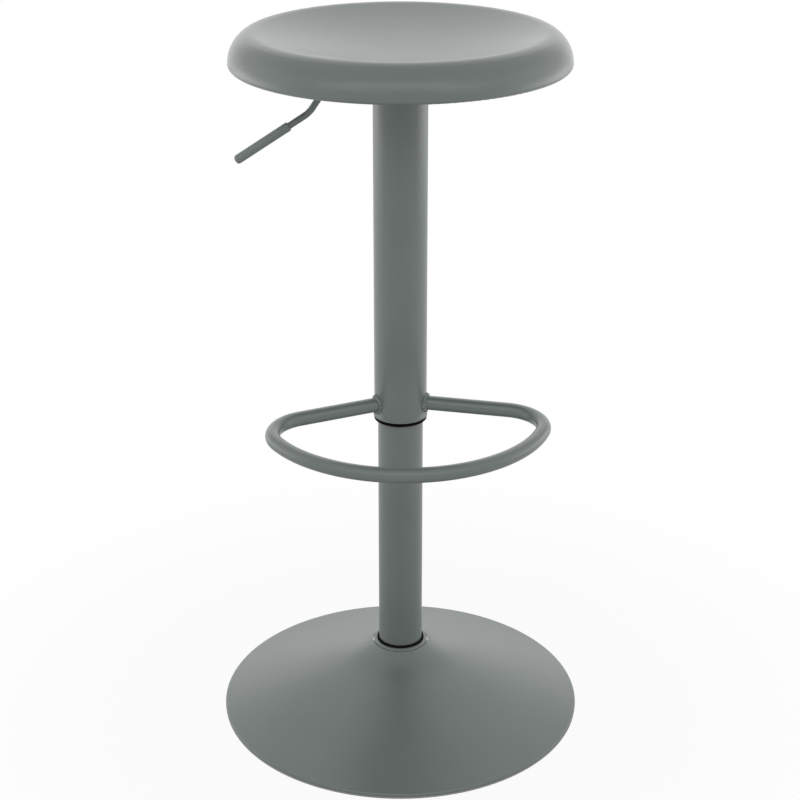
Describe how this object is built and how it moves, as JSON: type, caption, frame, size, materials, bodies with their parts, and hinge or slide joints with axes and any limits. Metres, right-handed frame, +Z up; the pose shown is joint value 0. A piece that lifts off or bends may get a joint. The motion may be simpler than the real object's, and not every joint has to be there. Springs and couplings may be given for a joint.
{
  "type": "bar stool",
  "caption": "Round bar stool with a dished metal seat on a telescoping swivel column, a bent tube footrest, a height lever and a conical spun base.",
  "frame": {"origin": "on the floor, under the middle of the base and of the column", "axes": "+Z up along the column, -Y towards the footrest, -X towards the lever"},
  "size_m": [0.415, 0.415, 0.7953],
  "materials": {
    "powder_coat": "matt grey-green powder coat with a fine grain",
    "grip": "matt grey-green plastic sleeve",
    "edge_ring": "pale translucent plastic",
    "black_plastic": "black moulded plastic",
    "rubber": "black rubber",
    "zinc_steel": "bright zinc plate",
    "chrome_steel": "polished steel",
    "spring_steel": "blackened spring steel",
    "aluminium": "turned",
    "cylinder_black": "satin black"
  },
  "bodies": {
    "base": {"base_shell": "powder_coat", "floor_ring": "edge_ring", "hub_socket": "powder_coat", "collar_seal": "rubber", "base_brace": "powder_coat", "lift_tube": "powder_coat", "guide_bush": "black_plastic", "bearing_lower_washer": "zinc_steel"},
    "spindle": {"bearing_balls": "chrome_steel", "bearing_cage": "black_plastic", "bearing_upper_washer": "zinc_steel", "bump_stop": "rubber", "piston_rod": "chrome_steel", "clip_washer": "zinc_steel", "retaining_clip": "spring_steel", "piston": "aluminium", "piston_seal": "rubber"},
    "seat": {"gas_cylinder": "cylinder_black", "rod_guide": "black_plastic", "taper_socket": "powder_coat", "upper_column": "powder_coat", "column_bush": "black_plastic", "footrest_loop": "powder_coat", "footrest_welds": "powder_coat", "seat_pan": "powder_coat", "seat_reinforcement": "powder_coat", "seat_channel": "powder_coat", "weld_nuts": "zinc_steel", "seat_washers": "zinc_steel", "seat_bolts": "zinc_steel", "lever_bracket": "powder_coat", "lever_pivot_pin": "zinc_steel", "pivot_clip": "spring_steel"},
    "lever": {"lever_rod": "powder_coat", "lever_grip": "grip"},
    "valve": {"valve_pin": "zinc_steel"}
  },
  "joints": [
    {"name": "swivel", "type": "hinge", "parent": "base", "child": "spindle", "pos_m": [0, 0, 0.02], "axis": [0, 0, 1], "continuous": true},
    {"name": "height", "type": "slide", "parent": "spindle", "child": "seat", "axis": [0, 0, 1], "range_m": [-0.21, 0]},
    {"name": "lever_pull", "type": "hinge", "parent": "seat", "child": "lever", "pos_m": [-0.036, 0, 0.7569], "axis": [0, 1, 0], "range_deg": [0, 7], "stiffness_Nm_per_rad": 4, "springref_deg": -5.73},
    {"name": "valve_press", "type": "slide", "parent": "seat", "child": "valve", "axis": [0, 0, -1], "range_m": [0, 0.0046]}
  ],
  "couplings": [
    {"joint": "valve_press", "follows": "lever_pull", "m_per_rad": 0.036}
  ]
}
